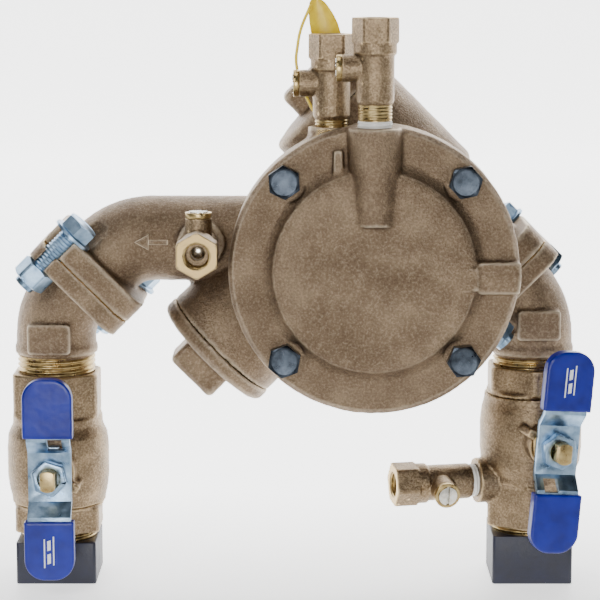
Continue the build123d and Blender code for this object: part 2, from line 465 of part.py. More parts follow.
for prefix, (flow, tilt, tab_side) in VALVES.items():
    front = valve_front[prefix]
    turning = spun(front, -tilt)
    with BuildPart() as valve_body:
        hex_bar(flow, HEX_AF, -LONG_END, -21, -18 if prefix == "inlet" else 0)
        turned(flow, [(0, -21), (20.3, -21), (20.3, -17), (22.4, -12.5), (23, -6), (23, 6),
                      (22.4, 12), (21.2, 17), (21.2, TAIL_FACE), (0, TAIL_FACE)])
        round_bar(front, 10.0, 10, HOUSING_END)
        for angle in (32, -122):
            lug = spun(front, angle + (0 if tab_side > 0 else 180))
            block(lug, 4.0, 3.6, 20, 32.4, at=(11.9, 0))
        if prefix == "inlet":
            round_bar(cock_face[1], 10.2, -16, 0)
        round_bar(flow, BALL_BORE_R, -LONG_END, 0, mode=Mode.SUBTRACT)
        round_bar(flow, THREAD_R, -LONG_END, THREAD_DEPTH - LONG_END, mode=Mode.SUBTRACT)
        round_bar(flow, CAVITY_R, -14.5, TAIL_START, mode=Mode.SUBTRACT)
        round_bar(flow, 18.5, TAIL_START, TAIL_FACE, mode=Mode.SUBTRACT)
        round_bar(front, BALL_STEM_R + RUNNING, 10, HOUSING_END, mode=Mode.SUBTRACT)
        round_bar(front, GLAND_R, PACKING_AT, HOUSING_END, mode=Mode.SUBTRACT)
        if prefix == "inlet":
            round_bar(cock_face[1], TAP_R, -TAP_DEPTH, 0, mode=Mode.SUBTRACT)
            round_bar(cock_face[1], 3.5, -18, 0, mode=Mode.SUBTRACT)
    keep(f"{prefix}_valve_body", valve_body)
    with BuildPart() as tailpiece:
        round_bar(flow, 18.5, TAIL_START, TAIL_FACE)
        round_bar(flow, 20.4, TAIL_FACE, TAIL_FACE + 1.8)
        hex_bar(flow, HEX_AF, TAIL_FACE + 1.8, SHORT_END, -13 if prefix == "inlet" else 0)
        round_bar(flow, BALL_BORE_R, TAIL_START, SHORT_END, mode=Mode.SUBTRACT)
        round_bar(flow, THREAD_R, SHORT_END - 12.5, SHORT_END, mode=Mode.SUBTRACT)
    keep(f"{prefix}_tailpiece", tailpiece)
    with BuildPart() as ball:
        with Locations(flow.origin):
            Sphere(BALL_R)
        bore_plane = Plane(flow.origin, x_dir=turning.y_dir, z_dir=turning.x_dir)
        round_bar(bore_plane, BALL_BORE_R, -20, 20, mode=Mode.SUBTRACT)
        block(turning, 4.1, 30, 14, 18, mode=Mode.SUBTRACT)
    keep(f"{prefix}_ball", ball)
    with BuildPart() as stem:
        block(turning, 3.9, 10, 14.1, 17)
        round_bar(turning, BALL_STEM_R, 16.9, HANDLE_AT)
        with BuildSketch(turning.offset(HANDLE_AT)) as double_d:
            Circle(STEM_END_R)
            Rectangle(12, STEM_FLATS, mode=Mode.INTERSECT)
        extrude(double_d.sketch, amount=STEM_OUT - HANDLE_AT)
    keep(f"{prefix}_stem", stem)
    with BuildPart() as handle:
        edge = Plane(turning.origin, x_dir=turning.x_dir, z_dir=-turning.y_dir)
        with BuildSketch(edge):
            with BuildLine():
                low, high = HANDLE_AT, HANDLE_AT + JOGGLE
                Polyline((-HALF_HANDLE, high), (-18, high), (-12, low), (12, low), (18, high),
                         (HALF_HANDLE, high), (HALF_HANDLE, high + PLATE),
                         (16.9, high + PLATE), (10.9, low + PLATE), (-10.9, low + PLATE),
                         (-16.9, high + PLATE), (-HALF_HANDLE, high + PLATE), close=True)
            make_face()
        extrude(amount=HANDLE_WIDTH / 2, both=True)
        block(turning, 5.5, 6.6, 30, 45, at=(tab_side * 15.3, tab_side * -2.8),
              mode=Mode.SUBTRACT)
        block(turning, 2 * HALF_HANDLE, HANDLE_WIDTH, 30, 45, 8.0, mode=Mode.INTERSECT)
        block(turning, 2.2, 7.6, 31, HANDLE_AT + 1, at=(tab_side * 11.9, 0))
        with BuildSketch(turning.offset(HANDLE_AT)) as double_d:
            Circle(STEM_END_R)
            Rectangle(12, STEM_FLATS, mode=Mode.INTERSECT)
        extrude(double_d.sketch, amount=PLATE, mode=Mode.SUBTRACT)
    keep(f"{prefix}_handle", handle)
    with BuildPart() as grips:
        for side in (-1, 1):
            with BuildSketch(turning.offset(high - 1.7)) as grip_outline:
                with Locations((side * 31.75, 0)):
                    RectangleRounded(HANDLE_GRIP, 22, 9.0)
                with Locations((side * (31.75 - HANDLE_GRIP / 4), 0)):
                    Rectangle(HANDLE_GRIP / 2, 22)
            extrude(grip_outline.sketch, amount=PLATE + 3.4)
        fillet(grips.faces().filter_by(Axis(turning.origin, turning.z_dir)).edges(), 0.8)
        block(turning, 2 * HALF_HANDLE, HANDLE_WIDTH, high, high + PLATE, 8.0,
              mode=Mode.SUBTRACT)
    keep(f"{prefix}_grips", grips)
    with BuildPart() as handle_nut:
        hex_bar(turning, 14.3, HANDLE_AT + PLATE, HANDLE_AT + PLATE + 4.2, 12)
        round_bar(turning, STEM_END_R, HANDLE_AT + PLATE, HANDLE_AT + PLATE + 4.2,
                  mode=Mode.SUBTRACT)
    keep(f"{prefix}_handle_nut", handle_nut)

with BuildPart() as valve_seats:
    for flow, _, _ in VALVES.values():
        round_bar(flow, 17.9, -14.5, -9.5)
        round_bar(flow, 17.9, 9.5, TAIL_START)
        round_bar(flow, BALL_BORE_R, -15, 15, mode=Mode.SUBTRACT)
        with Locations(flow.origin):
            Sphere(BALL_R + RUNNING, mode=Mode.SUBTRACT)
keep("valve_seats", valve_seats)
with BuildPart() as stem_packings:
    for front in valve_front.values():
        round_bar(front, GLAND_R, PACKING_AT, GLAND_AT)
        round_bar(front, BALL_STEM_R + RUNNING, PACKING_AT, GLAND_AT, mode=Mode.SUBTRACT)
keep("stem_packings", stem_packings)
with BuildPart() as gland_nuts:
    for front in valve_front.values():
        round_bar(front, GLAND_R, GLAND_AT, HOUSING_END)
        hex_bar(front, 17.0, HOUSING_END, 30.8)
        round_bar(front, BALL_STEM_R + RUNNING, GLAND_AT, 31, mode=Mode.SUBTRACT)
keep("gland_nuts", gland_nuts)

# --- Test cocks, heights counted from the foot of the round body ---
COCK_COLLAR, COCK_HEX, COCK_NECK_R = 20.0, 25.5, 9.0
COCK_BALL_R, COCK_STEM_R, COCK_HEAD_R, COCK_RING_R = 5.8, 3.0, 4.2, 5.75
COCK_SHOULDER, COCK_HEAD_TOP = 14.0, 16.8
cock_foot = {n: cock_face[n].offset(COCKS[n][3]) for n in COCKS}
cock_side = {}
for number, foot in cock_foot.items():
    middle = foot.origin + foot.z_dir * (COCK_LENGTH - COCK_BALL_AT)
    cock_side[number] = side = Plane(middle, x_dir=foot.y_dir, z_dir=foot.x_dir)
    gap = COCKS[number][3]
    with BuildPart() as cock_body:
        turned(foot, [(0, 1 - TAP_DEPTH - gap), (TAP_R, 1 - TAP_DEPTH - gap), (TAP_R, 0),
                      (7.4, 0), (COCK_BODY_R, 1.2), (COCK_BODY_R, COCK_COLLAR),
                      (COCK_NECK_R, COCK_COLLAR + 1), (COCK_NECK_R, COCK_HEX), (0, COCK_HEX)])
        hex_bar(foot, COCK_AF, COCK_HEX, COCK_LENGTH)
        round_bar(side, COCK_RING_R, 0, COCK_SHOULDER)
        round_bar(foot, COCK_STEM_R, -TAP_DEPTH - gap, COCK_LENGTH, mode=Mode.SUBTRACT)
        round_bar(foot, COCK_PORT_R, COCK_LENGTH - COCK_PORT_DEPTH, COCK_LENGTH,
                  mode=Mode.SUBTRACT)
        round_bar(side, COCK_STEM_R + RUNNING, 0, COCK_SHOULDER, mode=Mode.SUBTRACT)
        with Locations(middle):
            Sphere(COCK_BALL_R + RUNNING, mode=Mode.SUBTRACT)
    keep(f"test_cock_{number}", cock_body)
    with BuildPart() as rotor:
        with Locations(middle):
            Sphere(COCK_BALL_R)
        across = Plane(middle, x_dir=foot.x_dir, z_dir=foot.y_dir)
        round_bar(across, 2.6, -8, 8, mode=Mode.SUBTRACT)
        round_bar(side, COCK_STEM_R, 4, COCK_SHOULDER)
        round_bar(side, COCK_HEAD_R, COCK_SHOULDER + RUNNING, COCK_HEAD_TOP)
        round_bar(side, COCK_STEM_R, COCK_SHOULDER, COCK_SHOULDER + 1)
        block(side, 9, 1.3, COCK_HEAD_TOP - 1.3, COCK_HEAD_TOP, mode=Mode.SUBTRACT)
    keep(f"test_cock_{number}_stem", rotor)
with BuildPart() as test_cock_rings:
    for side in cock_side.values():
        round_bar(side, COCK_RING_R, COCK_SHOULDER, COCK_HEAD_TOP - 0.4)
        round_bar(side, COCK_HEAD_R + 0.1, COCK_SHOULDER, COCK_HEAD_TOP, mode=Mode.SUBTRACT)
keep("test_cock_rings", test_cock_rings)

# --- Plastic tag: a strap round the neck of test cock 3, with a leaf behind its hexagon ---
with BuildPart() as tag:
    neck = Plane((cock_foot[3].origin.X, cock_foot[3].origin.Y, 0))
    turned(neck, [(7.1, 208.8), (8.2, 208.8), (8.2, 211.6), (7.1, 211.6)])
    tag_back = Plane((0, -31.6, 0), x_dir=(1, 0, 0), z_dir=(0, -1, 0))
    with BuildSketch(tag_back):
        with BuildLine() as strap:
            Polyline((-96.2, 210), (-99, 213), (-103.4, 222), (-107.6, 235), (-105, 249),
                     (-99.6, 261.6))
        trace(strap.line, 1.2)
    extrude(amount=-2.3)
    with BuildSketch(Plane((0, -28.2, 0), x_dir=(1, 0, 0), z_dir=(0, -1, 0))):
        with BuildLine():
            Polyline((-100.2, 262), (-94, 262.4), (-90.4, 256), (-87.4, 247), (-87.6, 236),
                     (-98, 236), (-98.6, 250), close=True)
        make_face()
    extrude(amount=-1.0)
    block(Plane((0, -28, 0), x_dir=(1, 0, 0), z_dir=(0, -1, 0)), 2.4, 5, -0.6, 3.6,
          at=(-99.4, 259.4))
keep("tag", tag)

# --- Write one STEP file for each piece ---
os.makedirs("parts", exist_ok=True)
for name, piece in parts.items():
    export_step(piece, f"parts/{name}.step")
print(len(parts), "pieces")
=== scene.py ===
"""Looks of the one-inch backflow preventer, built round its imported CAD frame.

Castings are remeshed copies with softened corners and sand-cast grain, machined and forged
pieces are copies with eased edges, and threads, tape, tag and print are worked out here.
All lengths are in metres; MM turns millimetres into them.
"""
import json
from itertools import product
from math import pi, radians

import bmesh
import bpy
import numpy as np
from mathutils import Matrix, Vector


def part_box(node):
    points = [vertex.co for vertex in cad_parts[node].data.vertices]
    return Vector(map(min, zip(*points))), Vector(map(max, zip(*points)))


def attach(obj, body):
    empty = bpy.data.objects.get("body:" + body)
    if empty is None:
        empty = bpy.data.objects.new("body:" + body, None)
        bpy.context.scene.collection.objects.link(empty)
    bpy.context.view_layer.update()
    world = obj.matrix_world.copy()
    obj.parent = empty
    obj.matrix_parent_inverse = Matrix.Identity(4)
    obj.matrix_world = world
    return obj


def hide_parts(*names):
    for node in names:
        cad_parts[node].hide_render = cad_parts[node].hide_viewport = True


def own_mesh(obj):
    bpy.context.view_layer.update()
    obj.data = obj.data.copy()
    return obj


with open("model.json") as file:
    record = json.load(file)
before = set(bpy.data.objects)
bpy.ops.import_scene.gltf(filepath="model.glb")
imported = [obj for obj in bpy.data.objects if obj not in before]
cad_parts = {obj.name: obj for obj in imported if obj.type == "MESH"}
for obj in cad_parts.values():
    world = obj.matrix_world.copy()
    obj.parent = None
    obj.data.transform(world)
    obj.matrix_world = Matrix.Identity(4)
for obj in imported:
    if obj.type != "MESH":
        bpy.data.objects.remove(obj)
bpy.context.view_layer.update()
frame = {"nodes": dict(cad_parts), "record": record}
MM = 0.001
record = frame["record"]
mounts = {m["name"]: m for m in record["mounts"]}
joints = {j["name"]: j for j in record["behaviour"]["joints"]}
slot_of = {s["node"]: s["material_slot"] for s in record["subparts"]}
body_of = {n: b for b, nodes in record["behaviour"]["bodies"].items() for n in nodes}
scene = bpy.context.scene


# ---------------------------------------------------------------- camera, light and floor
AIM = Vector((-0.1049, 0.0, 0.1271))
EYE = Vector((-0.1049, -0.9877, 0.2835))


def srgb(code):
    """An sRGB hex colour as linear red, green, blue and a full alpha."""
    value = np.array([int(code[i:i + 2], 16) for i in (1, 3, 5)]) / 255
    linear = np.where(value <= 0.04045, value / 12.92, ((value + 0.055) / 1.055) ** 2.4)
    return (*linear.tolist(), 1.0)


def place(name, data, location, aim=AIM):
    """Link a camera or a light that looks at a point."""
    holder = bpy.data.objects.new(name, data)
    holder.location = location
    holder.rotation_euler = (aim - Vector(location)).to_track_quat("-Z", "Y").to_euler()
    scene.collection.objects.link(holder)
    return holder


camera = bpy.data.cameras.new("camera")
camera.lens, camera.sensor_width = 133.0, 36.0
scene.camera = place("camera", camera, EYE)

for name, location, size, power in (("key_softbox", (-0.70, -1.00, 0.85), 0.35, 6),
                                    ("fill_softbox", (0.90, -0.80, 0.35), 0.25, 1.2),
                                    ("front_softbox", (-0.15, -1.55, 0.14), 0.60, 13),
                                    ("top_softbox", (-0.15, -0.10, 1.10), 0.35, 2.0),
                                    ("back_softbox", (0.40, 0.90, 0.60), 0.50, 1.0)):
    light = bpy.data.lights.new(name, "AREA")
    light.size, light.energy = size, power
    place(name, light, location)

world = bpy.data.worlds.new("studio")
scene.world = world
world.use_nodes = True
world.node_tree.nodes["Background"].inputs["Color"].default_value = srgb("#ffffff")
world.node_tree.nodes["Background"].inputs["Strength"].default_value = 0.05


# ---------------------------------------------------------------- materials
def add(tree, kind, inputs=None, out=0, stops=(), **settings):
    """Add a shader node with its settings, its colour stops, and values or links for its
    inputs. Returns one output, or None where a shader's output isn't wanted."""
    made = tree.nodes.new("ShaderNode" + kind)
    for key, value in settings.items():
        setattr(made, key, value)
    for key, value in (inputs or {}).items():
        if isinstance(value, bpy.types.NodeSocket):
            tree.links.new(value, made.inputs[key])
        else:
            made.inputs[key].default_value = value
    for number, (position, colour) in enumerate(stops):
        if number >= len(made.color_ramp.elements):
            made.color_ramp.elements.new(position)
        made.color_ramp.elements[number].position = position
        made.color_ramp.elements[number].color = srgb(colour)
    return made.outputs[out]


def finish_of(name, links, **constants):
    """A material: constants go on the shader's own sockets, and links gives, from the tree
    and the object's coordinates, the sockets that a pattern drives."""
    material = bpy.data.materials.new(name)
    material.use_nodes = True
    tree = material.node_tree
    shader = tree.nodes["Principled BSDF"]
    for key, value in constants.items():
        shader.inputs[key.replace("_", " ")].default_value = value
    at = add(tree, "TexCoord", out="Object")
    for key, socket in links(tree, at).items():
        tree.links.new(socket, shader.inputs[key])
    return material


def spots_of(size):
    """The noise scale, in cells a metre, that draws spots of a size given in millimetres."""
    return 1000.0 / size


def cast_bronze(tree, at):
    """Sand-cast bronze, tumbled. The eye sees a satin tan metal with the sand's grain, drawn
    at 1 mm so that it shows, cloudy tarnish, worn ridges, and brighter machined faces."""
    grain = add(tree, "TexNoise", {"Vector": at, "Scale": spots_of(1.0), "Detail": 4.0,
                                   "Roughness": 0.7})
    cloud = add(tree, "TexNoise", {"Vector": at, "Scale": spots_of(14.29), "Detail": 4.0})
    base = add(tree, "ValToRGB", {"Fac": cloud}, stops=[
        (0.32, "#6b5a48"), (0.52, "#83705b"), (0.70, "#9b876e")])
    speck = add(tree, "ValToRGB", {"Fac": grain}, stops=[
        (0.36, "#3a2e24"), (0.50, "#7e6b57"), (0.66, "#cfb99d")])
    colour = add(tree, "Mix", {0: 0.30, 6: base, 7: speck}, out=2, data_type="RGBA")
    ridge = add(tree, "NewGeometry", out="Pointiness")
    worn = add(tree, "MapRange", {"Value": ridge, "From Min": 0.51, "From Max": 0.58})
    deep = add(tree, "MapRange", {"Value": ridge, "From Min": 0.49, "From Max": 0.42})
    colour = add(tree, "Mix", {0: worn, 6: colour, 7: srgb("#e2d2b9")}, out=2,
                 data_type="RGBA")
    colour = add(tree, "Mix", {0: deep, 6: colour, 7: srgb("#43342a")}, out=2,
                 data_type="RGBA")
    cut = add(tree, "Attribute", out="Fac", attribute_name="machined")
    colour = add(tree, "Mix", {0: cut, 6: colour, 7: srgb("#cbb183")}, out=2,
                 data_type="RGBA")
    rough = add(tree, "MapRange", {"Value": grain, "To Min": 0.30, "To Max": 0.56})
    rough = add(tree, "Mix", {0: cut, 2: rough, 3: 0.26}, out=0, data_type="FLOAT")
    fine = add(tree, "TexNoise", {"Vector": at, "Scale": spots_of(0.5263), "Detail": 2.0})
    normal = add(tree, "Bump", {"Height": fine, "Distance": 0.16 * MM})
    normal = add(tree, "Bump", {"Height": grain, "Distance": 0.55 * MM, "Normal": normal})
    return {"Base Color": colour, "Roughness": rough, "Normal": normal}


def forged_brass(tree, at):
    """Hot-forged brass, shot-blasted. Finer and a little yellower than the castings, and
    the faces that were turned afterwards are bright."""
    grain = add(tree, "TexNoise", {"Vector": at, "Scale": spots_of(0.9091), "Detail": 4.0,
                                   "Roughness": 0.6})
    cloud = add(tree, "TexNoise", {"Vector": at, "Scale": spots_of(9.091), "Detail": 3.0})
    base = add(tree, "ValToRGB", {"Fac": cloud}, stops=[
        (0.32, "#6f5e49"), (0.52, "#87735a"), (0.70, "#9e886a")])
    speck = add(tree, "ValToRGB", {"Fac": grain}, stops=[
        (0.36, "#443829"), (0.50, "#88765f"), (0.66, "#c8b391")])
    colour = add(tree, "Mix", {0: 0.38, 6: base, 7: speck}, out=2, data_type="RGBA")
    ridge = add(tree, "NewGeometry", out="Pointiness")
    worn = add(tree, "MapRange", {"Value": ridge, "From Min": 0.515, "From Max": 0.59})
    colour = add(tree, "Mix", {0: worn, 6: colour, 7: srgb("#dcc296")}, out=2,
                 data_type="RGBA")
    cut = add(tree, "Attribute", out="Fac", attribute_name="machined")
    colour = add(tree, "Mix", {0: cut, 6: colour, 7: srgb("#cfb27a")}, out=2,
                 data_type="RGBA")
    rough = add(tree, "MapRange", {"Value": grain, "To Min": 0.28, "To Max": 0.50})
    normal = add(tree, "Bump", {"Height": grain, "Distance": 0.30 * MM})
    return {"Base Color": colour, "Roughness": rough, "Normal": normal}


def turned_brass(tree, at):
    """Turned brass: yellow and bright, with tool marks drawn at 0.5 mm so that they show."""
    smear = add(tree, "TexNoise", {"Vector": at, "Scale": spots_of(3.030), "Detail": 2.0})
    mark = add(tree, "TexNoise", {"Vector": at, "Scale": spots_of(0.5), "Detail": 2.0})
    colour = add(tree, "ValToRGB", {"Fac": smear}, stops=[(0.3, "#9c8457"), (0.7, "#c8b17e")])
    rough = add(tree, "MapRange", {"Value": smear, "To Min": 0.20, "To Max": 0.38})
    normal = add(tree, "Bump", {"Height": mark, "Distance": 0.05 * MM})
    return {"Base Color": colour, "Roughness": rough, "Normal": normal}


def zinc_plate(dark, light):
    """Zinc plate on pressed or cold-headed steel: cool grey, with a cloudy bluish bloom."""
    def links(tree, at):
        bloom = add(tree, "TexNoise", {"Vector": at, "Scale": spots_of(4.762), "Detail": 4.0})
        pitting = add(tree, "TexNoise", {"Vector": at, "Scale": spots_of(0.7143),
                                         "Detail": 2.0})
        colour = add(tree, "ValToRGB", {"Fac": bloom}, stops=[(0.3, dark), (0.7, light)])
        rough = add(tree, "MapRange", {"Value": bloom, "To Min": 0.20, "To Max": 0.42})
        normal = add(tree, "Bump", {"Height": pitting, "Distance": 0.06 * MM})
        return {"Base Color": colour, "Roughness": rough, "Normal": normal}
    return links


def bright_plate(tree, at):
    """Polished plating on the balls and slotted stems: near white, with faint scuffs."""
    scuff = add(tree, "TexNoise", {"Vector": at, "Scale": spots_of(2.0), "Detail": 3.0})
    colour = add(tree, "ValToRGB", {"Fac": scuff}, stops=[(0.3, "#c6c1b4"), (0.7, "#e8e4da")])
    rough = add(tree, "MapRange", {"Value": scuff, "To Min": 0.10, "To Max": 0.26})
    return {"Base Color": colour, "Roughness": rough}


def stainless_steel(tree, at):
    """Drawn and turned stainless steel: neutral satin grey."""
    streak = add(tree, "TexNoise", {"Vector": at, "Scale": spots_of(1.538), "Detail": 3.0})
    colour = add(tree, "ValToRGB", {"Fac": streak}, stops=[(0.3, "#a2a2a0"), (0.7, "#cdcdc9")])
    rough = add(tree, "MapRange", {"Value": streak, "To Min": 0.22, "To Max": 0.38})
    return {"Base Color": colour, "Roughness": rough}


def painted_steel(tree, at):
    """Painted steel pipe fitting: near black with a blue cast, a soft sheen and a coat that
    follows the rough steel under it."""
    cloud = add(tree, "TexNoise", {"Vector": at, "Scale": spots_of(6.25), "Detail": 4.0})
    coat = add(tree, "TexNoise", {"Vector": at, "Scale": spots_of(1.25), "Detail": 3.0})
    colour = add(tree, "ValToRGB", {"Fac": cloud}, stops=[(0.3, "#06091e"), (0.7, "#0d122b")])
    rough = add(tree, "MapRange", {"Value": cloud, "To Min": 0.34, "To Max": 0.52})
    normal = add(tree, "Bump", {"Height": coat, "Distance": 0.14 * MM})
    return {"Base Color": colour, "Roughness": rough, "Normal": normal}


def dipped_vinyl(tree, at):
    """Plastisol that the handle was dipped in: deep glossy blue, wavy where it flowed."""
    flow = add(tree, "TexNoise", {"Vector": at, "Scale": spots_of(8.333), "Detail": 2.0})
    colour = add(tree, "ValToRGB", {"Fac": flow}, stops=[(0.3, "#000e74"), (0.7, "#011a92")])
    rough = add(tree, "MapRange", {"Value": flow, "To Min": 0.24, "To Max": 0.38})
    normal = add(tree, "Bump", {"Height": flow, "Distance": 0.30 * MM})
    return {"Base Color": colour, "Roughness": rough, "Normal": normal}


def polymer(dark, light, low, high, pore, depth):
    """A moulded or cut polymer: two close tones in clouds five pores wide, a roughness range
    and fine pores, whose size is in millimetres."""
    def links(tree, at):
        cloud = add(tree, "TexNoise", {"Vector": at, "Scale": spots_of(5 * pore),
                                       "Detail": 3.0})
        pores = add(tree, "TexNoise", {"Vector": at, "Scale": spots_of(pore), "Detail": 3.0})
        colour = add(tree, "ValToRGB", {"Fac": cloud}, stops=[(0.3, dark), (0.7, light)])
        rough = add(tree, "MapRange", {"Value": cloud, "To Min": low, "To Max": high})
        normal = add(tree, "Bump", {"Height": pores, "Distance": depth})
        return {"Base Color": colour, "Roughness": rough, "Normal": normal}
    return links


def paper(tree, at):
    """White studio paper that glows from 0.15 m behind the fittings on, and is unlit in front
    of them, so that it doesn't shine up into the metal."""
    fibre = add(tree, "TexNoise", {"Vector": at, "Scale": spots_of(25.0)})
    colour = add(tree, "ValToRGB", {"Fac": fibre}, stops=[(0.3, "#ececeb"), (0.7, "#f2f2f1")])
    depth = add(tree, "SeparateXYZ", {"Vector": at}, out="Y")
    glow = add(tree, "MapRange", {"Value": depth, "From Min": -0.15, "From Max": 0.15,
                                  "To Min": 0.0, "To Max": 3.2})
    return {"Base Color": colour, "Emission Strength": glow}


# rubber is matt black, tape and seats are chalky white, acetal is satin black, and the strap
# is a shiny yellow
finish = {
    "cast_bronze": finish_of("sand_cast_bronze", cast_bronze, Metallic=1.0),
    "forged_brass": finish_of("forged_brass", forged_brass, Metallic=1.0),
    "machined_brass": finish_of("turned_brass", turned_brass, Metallic=1.0),
    "zinc_steel": finish_of("zinc_plate", zinc_plate("#708ba6", "#aac4dc"), Metallic=1.0),
    "chrome_brass": finish_of("bright_plate", bright_plate, Metallic=1.0),
    "stainless": finish_of("stainless_steel", stainless_steel, Metallic=1.0),
    "black_steel": finish_of("painted_steel", painted_steel, IOR=1.5),
    "vinyl_blue": finish_of("dipped_vinyl", dipped_vinyl, IOR=1.46),
    "rubber_black": finish_of("nitrile_rubber", polymer("#191919", "#262626", 0.55, 0.70,
                                                        0.625, 0.05 * MM), IOR=1.52),
    "ptfe_white": finish_of("ptfe", polymer("#dedcd4", "#f4f3ee", 0.42, 0.60, 1.111,
                                            0.10 * MM), IOR=1.38),
    "acetal": finish_of("moulded_acetal", polymer("#1b1c1f", "#27282c", 0.35, 0.50, 0.5556,
                                                  0.04 * MM), IOR=1.48),
    "tag_yellow": finish_of("yellow_strap_plastic", polymer("#e2bd10", "#f5d92e", 0.28, 0.44,
                                                            0.7692, 0.06 * MM), IOR=1.5),
}
print_white = finish_of("screen_print_white", polymer("#dfe4ea", "#f3f5f7", 0.4, 0.55, 0.4,
                                                      0.02 * MM), IOR=1.5)
# the same zinc plate made darker for the cover bolts: painted shade, not a dulled finish
painted_shade_zinc = finish_of("zinc_plate_painted_shade", zinc_plate("#1f2328", "#484f58"), Metallic=1.0)
studio_floor = finish_of("studio_floor", paper, IOR=1.45, Emission_Color=srgb("#ffffff"))


# ---------------------------------------------------------------- copies of the CAD pieces
def new_piece(name, mesh, slot, body, *nodes):
    """Put a mesh into the scene at the origin, with its finish, its body and the CAD nodes
    that it stands for."""
    piece = bpy.data.objects.new(name, mesh)
    scene.collection.objects.link(piece)
    mesh.materials.clear()
    mesh.materials.append(finish[slot])
    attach(piece, body)
    if nodes:
        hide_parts(*nodes)
    return piece


def joined_copy(node):
    """A copy of a CAD node's mesh with its loose triangles joined and flat faces whole."""
    mesh = frame["nodes"][node].data.copy()
    shape = bmesh.new()
    shape.from_mesh(mesh)
    bmesh.ops.remove_doubles(shape, verts=shape.verts, dist=2e-6)
    bmesh.ops.dissolve_limit(shape, angle_limit=radians(0.5), verts=shape.verts,
                             edges=shape.edges)
    shape.to_mesh(mesh)
    shape.free()
    return mesh


def settle(piece):
    """Replace a piece's mesh with the one that its modifiers give."""
    material = piece.data.materials[0]
    depsgraph = bpy.context.evaluated_depsgraph_get()
    mesh = bpy.data.meshes.new_from_object(piece.evaluated_get(depsgraph))
    piece.modifiers.clear()
    piece.data = mesh
    mesh.materials.clear()
    mesh.materials.append(material)


def unit(direction):
    """A direction as an array of length 1."""
    direction = np.array(direction, float)
    return direction / np.linalg.norm(direction)


def lattice_noise(points, size, seed):
    """Noise from -1 to 1. Each corner of a lattice of that size gets a hashed value, and a
    point blends the eight corners round it with the weight 3t^2 - 2t^3 along each axis."""
    cell = points / size
    corner = np.floor(cell).astype(np.int64)
    part = cell - corner
    part = part * part * (3 - 2 * part)
    total = np.zeros(len(points))
    for step in product((0, 1), repeat=3):
        x, y, z = (corner + step).T
        mixed = (x * 73856093) ^ (y * 19349663) ^ (z * 83492791) ^ (seed * 2654435761)
        mixed = (mixed ^ (mixed >> 13)) * 1274126177
        value = ((mixed ^ (mixed >> 16)) & 0xFFFF) / 32767.5 - 1
        total += value * np.prod(np.where(step, part, 1 - part), axis=1)
    return total


CUT_DEPTH = 0.6 * MM          # how far a cut face may have moved and still be found


def casting(node, voxel, rounds, grain, seed, cuts=(), bores=()):
    """A cast or forged copy of a CAD node. It is remeshed, its corners are smoothed into
    fillets, and each point moves along its normal by grain x (0.9 noise at 9 mm + 0.6 at
    3 mm + 0.5 at 1.4 mm). Near a cut, given as (point on it, its outward direction, reach),
    the face is flat again, and the attribute 'machined' is 1. A bore, given as (its mouth,
    the way in, radius, depth), is opened to a true round again."""
    piece = new_piece(node + "_cast", joined_copy(node), slot_of[node], body_of[node], node)
    remesh = piece.modifiers.new("remesh", "REMESH")
    remesh.mode, remesh.voxel_size, remesh.use_smooth_shade = "VOXEL", voxel, True
    smooth = piece.modifiers.new("smooth", "SMOOTH")
    smooth.factor, smooth.iterations = 0.5, rounds
    settle(piece)
    mesh = piece.data
    points = np.empty(len(mesh.vertices) * 3)
    mesh.vertices.foreach_get("co", points)
    normals = np.empty(len(mesh.vertices) * 3)
    mesh.vertex_normals.foreach_get("vector", normals)
    points, normals = points.reshape(-1, 3), normals.reshape(-1, 3)
    cut_face = np.zeros(len(points))
    for origin, out, reach in cuts:
        out = unit(out)
        offset = points - np.array(origin)
        height = offset @ out
        beside = np.linalg.norm(offset - np.outer(height, out), axis=1)
        on_it = (np.abs(height) < CUT_DEPTH) & (beside < reach) & (normals @ out > 0.8)
        points[on_it] -= np.outer(height[on_it], out)
        cut_face[on_it] = 1
    height = (lattice_noise(points, 9 * MM, seed) * 0.9
              + lattice_noise(points, 3 * MM, seed + 1) * 0.6
              + lattice_noise(points, 1.4 * MM, seed + 2) * 0.5) * grain * (1 - cut_face)
    points += normals * height[:, None]
    for mouth, way, radius, depth in bores:
        offset = points - mouth
        inward = offset @ way
        off_axis = offset - np.outer(inward, way)
        beside = np.linalg.norm(off_axis, axis=1)
        shut = (inward > 0) & (inward < depth) & (beside < radius)
        points[shut] += off_axis[shut] * (radius / beside[shut] - 1)[:, None]
    mesh.vertices.foreach_set("co", points.ravel())
    mesh.attributes.new("machined", "FLOAT", "POINT").data.foreach_set("value", cut_face)
    mesh.update()
    mesh.shade_smooth()
    return piece


def eased(node, width, segments=2):
    """A machined or pressed copy of a CAD node, with its sharp edges broken by a round."""
    piece = new_piece(node + "_eased", joined_copy(node), slot_of[node], body_of[node], node)
    piece.data.shade_smooth()
    bevel = piece.modifiers.new("bevel", "BEVEL")
    bevel.width, bevel.segments, bevel.limit_method = width, segments, "ANGLE"
    bevel.angle_limit, bevel.use_clamp_overlap = radians(30), True
    settle(piece)
    piece.data.set_sharp_from_angle(angle=radians(36))
    return piece


